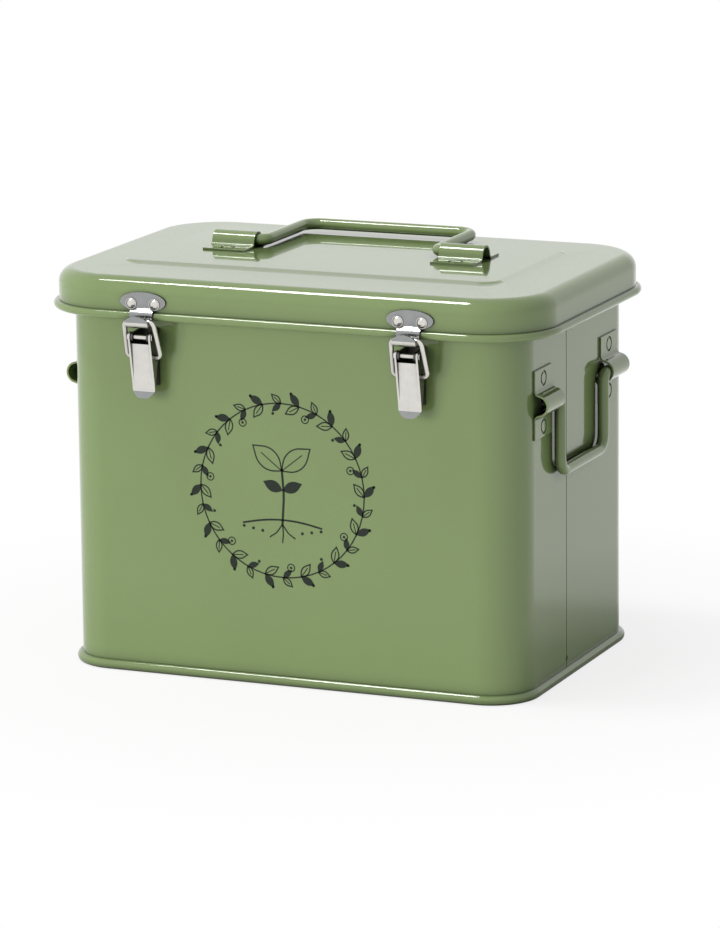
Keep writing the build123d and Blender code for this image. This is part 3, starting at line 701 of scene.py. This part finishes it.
# ---- fitting pieces to the frame -----------------------------------------------------------
@dataclass
class Fitter:
    """Makes objects of meshes and hangs them on the frame."""

    frame: dict

    def piece(
        self,
        name: str,
        mesh: bmesh.types.BMesh,
        body: str,
        finish: Finish,
        slot: str,
        stands_for: Sequence[str] = (),
        sharp_degrees: float = SHARP_DEGREES,
    ) -> bpy.types.Object:
        """Adds one piece.

        Args:
            name: Name of the object.
            mesh: Its mesh in metres, freed here.
            body: The body that it rides on.
            finish: Its finish.
            slot: Material slot of the record; not used.
            stands_for: CAD nodes that it replaces.
            sharp_degrees: Edges above this angle stay sharp.

        Returns:
            The object.
        """
        data = bpy.data.meshes.new(name)
        mesh.to_mesh(data)
        mesh.free()
        for polygon in data.polygons:
            polygon.use_smooth = True
        data.set_sharp_from_angle(angle=radians(sharp_degrees))
        data.materials.append(finish.material())
        made = bpy.data.objects.new(name, data)
        bpy.context.scene.collection.objects.link(made)
        weighted = made.modifiers.new("even_normals", "WEIGHTED_NORMAL")
        weighted.keep_sharp = True
        weighted.weight = NORMAL_WEIGHT
        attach(made, body)
        if stands_for:
            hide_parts(*stands_for)
        LOG.info("%s on %s, %d faces", name, body, len(data.polygons))
        return made

    def softened(
        self, node: str, finish: Finish, slot: str, edge_mm: float, rim: Finish | None = None
    ) -> bpy.types.Object:
        """A CAD node's shape as one clean mesh with broken edges.

        Args:
            node: The node.
            finish: Its finish.
            slot: Material slot of the record, handed on to piece; not used.
            edge_mm: Width of the broken edges, 0 where they stay as they are.
            rim: Finish of the broken edges, where it differs.

        Returns:
            The object that stands for the node.
        """
        mesh = bmesh.new()
        mesh.from_mesh(self.frame["nodes"][node].data)
        bmesh.ops.remove_doubles(mesh, verts=mesh.verts, dist=WELD_DISTANCE)
        bmesh.ops.dissolve_limit(
            mesh,
            angle_limit=radians(FLAT_DEGREES),
            verts=mesh.verts,
            edges=mesh.edges,
            use_dissolve_boundaries=False,
        )
        if edge_mm > 0:
            corners = [
                edge
                for edge in mesh.edges
                if len(edge.link_faces) == 2 and edge.calc_face_angle(0.0) > radians(CORNER_DEGREES)
            ]
            cut = bmesh.ops.bevel(
                mesh,
                geom=corners,
                offset=edge_mm * MM,
                offset_type="OFFSET",
                affect="EDGES",
                segments=EDGE_SEGMENTS,
                profile=0.5,
                material=-1,
                clamp_overlap=True,
            )
            for face in cut["faces"] if rim else ():
                face.material_index = 1
        body = body_of(self.frame["nodes"][node])
        body = body if isinstance(body, str) else body[0]
        made = self.piece(f"{node}_shape", mesh, body, finish, slot, [node])
        if rim:
            made.data.materials.append(rim.material())
        return made

    def patch(self, made: bpy.types.Object, finish: Finish, below_mm: float, upright_only: bool) -> None:
        """Gives the faces below a height another finish.

        Args:
            made: The object.
            finish: The finish.
            below_mm: The height.
            upright_only: Whether only faces towards the front and back change.
        """
        made.data.materials.append(finish.material())
        for polygon in made.data.polygons:
            upright = abs(polygon.normal.y) > FACING_FRONT or not upright_only
            if polygon.center.z < below_mm * MM and upright:
                polygon.material_index = len(made.data.materials) - 1

    def dress(self, node: str, finish: Finish) -> None:
        """Gives a CAD node that stays its finish.

        Args:
            node: The node.
            finish: Its finish.
        """
        data = self.frame["nodes"][node].data
        data.materials.clear()
        data.materials.append(finish.material())
        LOG.info("%s dressed in %s", node, finish.name)


# ---- sub-assemblies ------------------------------------------------------------------------
@dataclass
class Casing:
    """Wall, base pan, partition and cards."""

    fitter: Fitter

    def build(self) -> None:
        """Dresses the casing."""
        self.fitter.softened("body_wall", WALL_ENAMEL, "enamel", SHEET_EDGE)
        self.fitter.softened("base_pan", ENAMEL, "enamel", NO_EDGE)
        self.fitter.softened("partition", ENAMEL, "inner_sheet", SHEET_EDGE)
        for side in SIDES:
            for index in range(CARDS_PER_SIDE):
                self.fitter.dress(f"index_card_{side}_{index + 1}", CARD)


@dataclass
class Lid:
    """Lid, its handle and the clips of the handle."""

    fitter: Fitter

    def build(self) -> None:
        """Dresses the lid."""
        self.fitter.softened("lid_shell", ENAMEL, "enamel", NO_EDGE)
        self.fitter.softened("lid_handle", ENAMEL, "enamel", WIRE_EDGE)
        for side in SIDES:
            self.fitter.softened(f"lid_clip_{side}", ENAMEL, "enamel", CLIP_EDGE)


@dataclass
class EndHandles:
    """Handles and clips on the ends of the box."""

    fitter: Fitter

    def build(self) -> None:
        """Dresses both ends."""
        for side in SIDES:
            self.fitter.softened(f"{side}_handle", ENAMEL, "enamel", WIRE_EDGE)
            for end in ENDS:
                self.fitter.softened(f"{side}_clip_{end}", ENAMEL, "enamel", CLIP_EDGE)


@dataclass
class DrawLatches:
    """Keepers, loops, levers, pins and brackets.

    Attributes:
        fitter: Makes the objects.
        tip_top_mm: Height below which the lever is its duller thumb tip, with painted shade.
        hook_top_mm: Height below which the keeper is its brighter hook; above it the plate has painted
            shade.
    """

    fitter: Fitter
    tip_top_mm: float = 115.6
    hook_top_mm: float = 144.9

    def build(self) -> None:
        """Dresses both latches."""
        soften = self.fitter.softened
        for side in SIDES:
            # keeper: duller nickel, partly its finish and partly painted shade, with a painted highlight on
            # its broken edges
            keeper = soften(f"keeper_{side}", DULL_SHADED_NICKEL, "nickel", KEEPER_EDGE, GLINT_NICKEL)
            self.fitter.patch(keeper, BRIGHT_NICKEL, self.hook_top_mm, upright_only=False)
            soften(f"keeper_rivets_{side}", BRIGHT_NICKEL, "nickel", RIVET_EDGE)
            # bracket and its rivets: painted shadow, nearly black on the bracket and duller nickel on the
            # rivets
            soften(f"latch_base_{side}", SHADOWED_NICKEL, "nickel", BRACKET_EDGE)
            soften(f"latch_base_rivets_{side}", DULL_SHADED_NICKEL, "nickel", RIVET_EDGE)
            soften(f"latch_pin_{side}", BRIGHT_NICKEL, "nickel", SHEET_EDGE)
            lever = soften(f"latch_lever_{side}", BRIGHT_NICKEL, "nickel", WIRE_EDGE)
            # thumb tip: duller nickel with painted shade in its dish
            self.fitter.patch(lever, DULL_SHADED_NICKEL, self.tip_top_mm, upright_only=True)
            soften(f"latch_loop_{side}", BRIGHT_NICKEL, "nickel", SHEET_EDGE)


@dataclass
class Hinges:
    """Butt hinges of the lid."""

    fitter: Fitter

    def build(self) -> None:
        """Dresses both hinges."""
        for side in SIDES:
            for node in ("hinge_body_leaf", "hinge_lid_leaf", "hinge_pin"):
                self.fitter.softened(f"{node}_{side}", ENAMEL, "enamel", SHEET_EDGE)
            for node in ("hinge_body_rivets", "hinge_lid_rivets"):
                self.fitter.softened(f"{node}_{side}", ENAMEL, "enamel", RIVET_EDGE)


@dataclass(frozen=True)
class Stroke:
    """Drawn line of even width, in millimetres."""

    width: float
    knots: tuple[Knot, ...]


@dataclass(frozen=True)
class Leaf:
    """Pointed leaf, in millimetres and radians.

    Attributes:
        length: From its foot to its tip.
        width: Half of its greatest width.
        foot: Where it starts.
        turn: Its direction.
        filled: Whether it is solid or drawn as a line with a vein.
    """

    length: float
    width: float
    foot: tuple[float, float]
    turn: float
    filled: bool


STEM = Stroke(0.9, (Knot(0, -14), Knot(0.8, -2, 40), Knot(0, 9)))
MOUND = Stroke(0.7, (Knot(-17, -14), Knot(0, -10.5, 60), Knot(17, -14)))
SIDE_ROOT = Stroke(0.5, (Knot(0, -13.5), Knot(2.5, -17, 3), Knot(5.5, -19)))
TAP_ROOT = Stroke(0.5, (Knot(0, -13.5), Knot(0.4, -17, 12), Knot(0, -21)))
SEEDS = ((8.5, -16.6), (12.5, -15.9), (16.5, -15.2))
SEEDLING_LEAVES = (
    Leaf(15.5, 4.2, (0, 8), radians(38), False),
    Leaf(15.5, 4.2, (0, 8), radians(142), False),
    Leaf(9.0, 2.3, (0.3, 0), radians(22), True),
    Leaf(9.0, 2.3, (0.3, 0), radians(158), True),
)


@dataclass
class SproutPrint:
    """Ring of leaves, dots and berries around a seedling, printed on the front.

    Lengths are in millimetres and angles in radians.

    Attributes:
        fitter: Makes the object.
        centre_x, centre_z: Centre of the print on the front.
        rim_reach: How far the base pan's rim stands out from the wall.
        thickness: Thickness of the print.
        line: Width of its lines.
        ring_radius: Radius of the ring's stem.
        leaf_pairs: Pairs of leaves around the ring.
        leaf_length, leaf_width: Length and half width of a large leaf.
        leaf_lean: Angle of a leaf against the ring's radius.
        small_leaf: Size of a small leaf as a share of a large one.
        belly_place, belly_round: Place and rounding of a leaf's belly, as shares of its length.
        belly_reach: Reach of the belly's corner, as a share of the half width.
        vein_length, vein_line: Length of a vein as a share of its leaf, its width as one of the line.
        dot_radius: Radius of dots and seeds.
        outer_reach, inner_reach: How far dots and berries stand off the ring on either side.
        berry_step: One place in so many between the pairs has a berry.
        berry_radius: Radius of a berry.
        berry_line, berry_heart: Its outline as a share of the line, its heart as one of its radius.
    """

    fitter: Fitter
    centre_x: float = -2.0
    centre_z: float = 79.0
    rim_reach: float = 2.3
    thickness: float = 0.06
    line: float = 0.5
    ring_radius: float = 35.0
    leaf_pairs: int = 28
    leaf_length: float = 6.6
    leaf_width: float = 1.5
    leaf_lean: float = 0.85
    small_leaf: float = 0.78
    belly_place: float = 0.45
    belly_reach: float = 1.5
    belly_round: float = 0.5
    vein_length: float = 0.72
    vein_line: float = 0.7
    dot_radius: float = 0.6
    outer_reach: float = 4.4
    inner_reach: float = -4.0
    berry_step: int = 4
    berry_radius: float = 1.5
    berry_line: float = 0.8
    berry_heart: float = 0.35

    def leaf(self, drawn: Leaf) -> bmesh.types.BMesh:
        """Mesh of one leaf.

        Args:
            drawn: The leaf.

        Returns:
            The mesh in the plane of the print.
        """
        length = drawn.length
        belly, side = length * self.belly_place, drawn.width * self.belly_reach
        bend = length * self.belly_round
        knots = [Knot(0, 0), Knot(belly, side, bend), Knot(length, 0), Knot(belly, -side, bend)]
        if drawn.filled:
            made = plate(knots, self.thickness, LEAF_STEPS)
        else:
            middle = (Knot(0, 0), Knot(length * self.vein_length, 0))
            vein = self.stroke(Stroke(self.line * self.vein_line, middle))
            made = join([self.stroke(Stroke(self.line, tuple(knots)), closed=True), vein])
        return moved(made, Matrix.Translation((*drawn.foot, 0)) @ Matrix.Rotation(drawn.turn, 4, "Z"))

    def dot(self, at: Sequence[float], radius: float) -> bmesh.types.BMesh:
        """Round dot.

        Args:
            at: Its centre.
            radius: Its radius.

        Returns:
            The mesh in the plane of the print.
        """
        made = bmesh.new()
        bmesh.ops.create_cone(
            made,
            cap_ends=True,
            segments=DOT_SEGMENTS,
            radius1=radius,
            radius2=radius,
            depth=self.thickness,
        )
        return moved(made, Matrix.Translation((*at, 0)))

    def stroke(self, drawn: Stroke, closed: bool = False) -> bmesh.types.BMesh:
        """Mesh of one line.

        Args:
            drawn: The line.
            closed: Whether it is a ring.

        Returns:
            The mesh in the plane of the print.
        """
        curve = flat_curve(drawn.knots, closed, STROKE_STEPS)
        half, low = drawn.width / 2, self.thickness / 2
        section = [Knot(-half, -low), Knot(half, -low), Knot(half, low), Knot(-half, low)]
        helper = flat_curve(section, True, 1)
        curve.data.bevel_mode = "OBJECT"
        curve.data.bevel_object = helper
        curve.data.use_fill_caps = True
        return curve_mesh(curve, helper)

    def circle(self, radius: float, width: float) -> bmesh.types.BMesh:
        """Round line about the origin.

        Args:
            radius: Radius of its middle.
            width: Its width.

        Returns:
            The mesh in the plane of the print.
        """
        corners = ((radius, radius), (-radius, radius), (-radius, -radius), (radius, -radius))
        knots = tuple(Knot(x, y, radius * NEARLY_ROUND) for x, y in corners)
        return self.stroke(Stroke(width, knots), closed=True)

    def leaf_pair(self, foot: Vector, angle: float, large: bool) -> list[bmesh.types.BMesh]:
        """A leaf outwards and one inwards, one of them solid.

        Args:
            foot: Where both start, on the ring.
            angle: The foot's place around the ring.
            large: Whether the pair is large, with its outer leaf solid.

        Returns:
            The meshes in the plane of the print.
        """
        size = 1.0 if large else self.small_leaf
        length, width = self.leaf_length * size, self.leaf_width * size
        outer = Leaf(length, width, tuple(foot), angle + self.leaf_lean, large)
        inner = Leaf(length, width, tuple(foot), angle + pi - self.leaf_lean, not large)
        return [self.leaf(outer), self.leaf(inner)]

    def berry(self, at: Sequence[float], turn: float) -> list[bmesh.types.BMesh]:
        """Open round berry with a dark heart.

        Args:
            at: Its centre.
            turn: How far its outline is turned.

        Returns:
            The meshes in the plane of the print.
        """
        outline = self.circle(self.berry_radius, self.line * self.berry_line)
        moved(outline, Matrix.Translation((*at, 0)) @ Matrix.Rotation(turn, 4, "Z"))
        return [outline, self.dot(at, self.berry_radius * self.berry_heart)]

    def ring(self) -> list[bmesh.types.BMesh]:
        """The closed ring: stem line, leaves in pairs, and dots and berries between them.

        Returns:
            The meshes in the plane of the print.
        """
        parts = [self.circle(self.ring_radius, self.line)]
        for index in range(self.leaf_pairs):
            angle = 2 * pi * index / self.leaf_pairs
            foot = Vector((cos(angle), sin(angle))) * self.ring_radius
            parts.extend(self.leaf_pair(foot, angle, index % 2 == 0))
            between = angle + pi / self.leaf_pairs
            reach = self.ring_radius + (self.outer_reach if index % 2 == 0 else self.inner_reach)
            at = Vector((cos(between), sin(between))) * reach
            if index % self.berry_step == 1:
                parts.extend(self.berry(at, angle))
            else:
                parts.append(self.dot(at, self.dot_radius))
        return parts

    def seedling(self) -> list[bmesh.types.BMesh]:
        """Seedling on a mound, with roots and a scatter of seeds.

        Returns:
            The meshes in the plane of the print.
        """
        parts = [self.stroke(STEM)]
        parts.extend(self.leaf(drawn) for drawn in SEEDLING_LEAVES)
        parts.append(self.stroke(MOUND))
        for sign in (-1, 1):
            root = tuple(Knot(sign * knot.x, knot.y, knot.radius) for knot in SIDE_ROOT.knots)
            parts.append(self.stroke(Stroke(SIDE_ROOT.width, root)))
            parts.extend(self.dot((sign * x, y), self.dot_radius) for x, y in SEEDS)
        parts.append(self.stroke(TAP_ROOT))
        return parts

    def build(self) -> None:
        """Adds the print to the front wall."""
        front = self.rim_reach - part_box("base_pan")[1][1] / MM  # the pan is as deep to the front
        whole = join(self.ring() + self.seedling())
        origin = (self.centre_x, front - self.thickness / 2, self.centre_z)
        lay = placed(origin, (1, 0, 0), (0, -1, 0))
        moved(whole, Matrix.Scale(MM, 4) @ lay)
        self.fitter.piece("front_print", whole, ROOT_BODY, INK, "enamel", sharp_degrees=PRINT_SHARP_DEGREES)


# ---- studio --------------------------------------------------------------------------------
@dataclass(frozen=True)
class Lamp:
    """Square soft lamp.

    Attributes:
        name: Its name.
        place: Its place, in metres.
        aim: Where it points.
        size: Its side, in metres.
        watts: Its power.
        mirrored: Whether glossy surfaces show it.
    """

    name: str
    place: tuple[float, float, float]
    aim: tuple[float, float, float]
    size: float
    watts: float
    mirrored: bool


LAMPS = (
    Lamp("overhead", (-0.65, -0.32, 1.85), (0, 0, 0.1), 0.4, 16.0, True),
    Lamp("front", (-1.1, -2.2, 0.25), (0, 0, 0.05), 1.4, 47.0, False),
)


@dataclass
class Studio:
    """Floor, lamps, world and camera.

    Attributes:
        azimuth: Degrees that the camera stands to the right of the front.
        elevation: Degrees that it stands above the target.
        roll: Degrees that it leans.
        distance: Metres from the target to the camera.
        focal_px: Focal length in pixels of the picture.
        target: Point that it looks at, in metres.
        frame_height_px: Height of the picture, its longer side.
        sensor_mm: Side of the sensor that the longer side fills.
        view_end: Metres to the farthest thing seen.
        floor_half: Half of the floor's side, in metres.
        ambient: Strength of the surroundings as diffuse light.
    """

    azimuth: float = 23.0
    elevation: float = 12.4
    roll: float = -0.61
    distance: float = 1.9708
    focal_px: float = 4879.8
    target: tuple[float, float, float] = (0.00404, 0.0, 0.07695)
    frame_height_px: float = 928.0
    sensor_mm: float = 36.0
    view_end: float = 50.0
    floor_half: float = 12.0
    ambient: float = 0.38

    def camera(self) -> None:
        """Places the camera."""
        data = bpy.data.cameras.new("camera")
        data.sensor_width = self.sensor_mm
        data.lens = self.focal_px * self.sensor_mm / self.frame_height_px
        data.clip_end = self.view_end
        az, el = radians(self.azimuth), radians(self.elevation)
        back = Vector((sin(az) * cos(el), -cos(az) * cos(el), sin(el)))
        place = Vector(self.target) + back * self.distance
        level = back.to_track_quat("Z", "Y").to_matrix().to_4x4()
        made = bpy.data.objects.new("camera", data)
        made.matrix_world = Matrix.Translation(place) @ level @ Matrix.Rotation(radians(self.roll), 4, "Z")
        bpy.context.scene.collection.objects.link(made)
        bpy.context.scene.camera = made

    def floor(self) -> None:
        """Lays a wide white floor under the box."""
        mesh = bmesh.new()
        bmesh.ops.create_grid(mesh, x_segments=1, y_segments=1, size=self.floor_half)
        data = bpy.data.meshes.new("floor")
        mesh.to_mesh(data)
        mesh.free()
        data.materials.append(Ground("studio_white").material())
        made = bpy.data.objects.new("floor", data)
        bpy.context.scene.collection.objects.link(made)

    def lamp(self, chosen: Lamp) -> None:
        """Adds a lamp.

        Args:
            chosen: The lamp.
        """
        data = bpy.data.lights.new(chosen.name, "AREA")
        data.shape = "SQUARE"
        data.size = chosen.size
        data.energy = chosen.watts
        made = bpy.data.objects.new(chosen.name, data)
        place = Vector(chosen.place)
        turn = (place - Vector(chosen.aim)).to_track_quat("Z", "Y").to_matrix().to_4x4()
        made.matrix_world = Matrix.Translation(place) @ turn
        made.visible_glossy = chosen.mirrored
        bpy.context.scene.collection.objects.link(made)

    def world(self) -> None:
        """White surroundings for the camera and for reflections, softer for diffuse light."""
        made = bpy.data.worlds.new("studio")
        made.use_nodes = True
        bpy.context.scene.world = made
        graph = Graph(made.node_tree)
        rays = graph.node("ShaderNodeLightPath")
        outputs = rays.socket.node.outputs
        seen = Value(graph, outputs["Is Camera Ray"]) + Value(graph, outputs["Is Glossy Ray"])
        seen = (seen + Value(graph, outputs["Is Transmission Ray"])).clamped()
        strength = seen * (1.0 - self.ambient) + self.ambient
        shade = graph.node("ShaderNodeBackground", {}, {"Color": WHITE, "Strength": strength})
        graph.node("ShaderNodeOutputWorld", {}, [shade])

    def build(self) -> None:
        """Sets the studio up."""
        self.floor()
        self.world()
        for chosen in LAMPS:
            self.lamp(chosen)
        self.camera()
        bpy.context.scene.view_settings.view_transform = "Standard"


def main() -> None:
    """Builds the dressed box and its studio."""
    logging.basicConfig(level=logging.INFO)
    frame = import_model()
    fitter = Fitter(frame)
    for assembly in (Casing, Lid, EndHandles, DrawLatches, Hinges, SproutPrint):
        assembly(fitter).build()
        LOG.info("%s done", assembly.__name__)
    Studio().build()


if __name__ == "__main__":
    main()
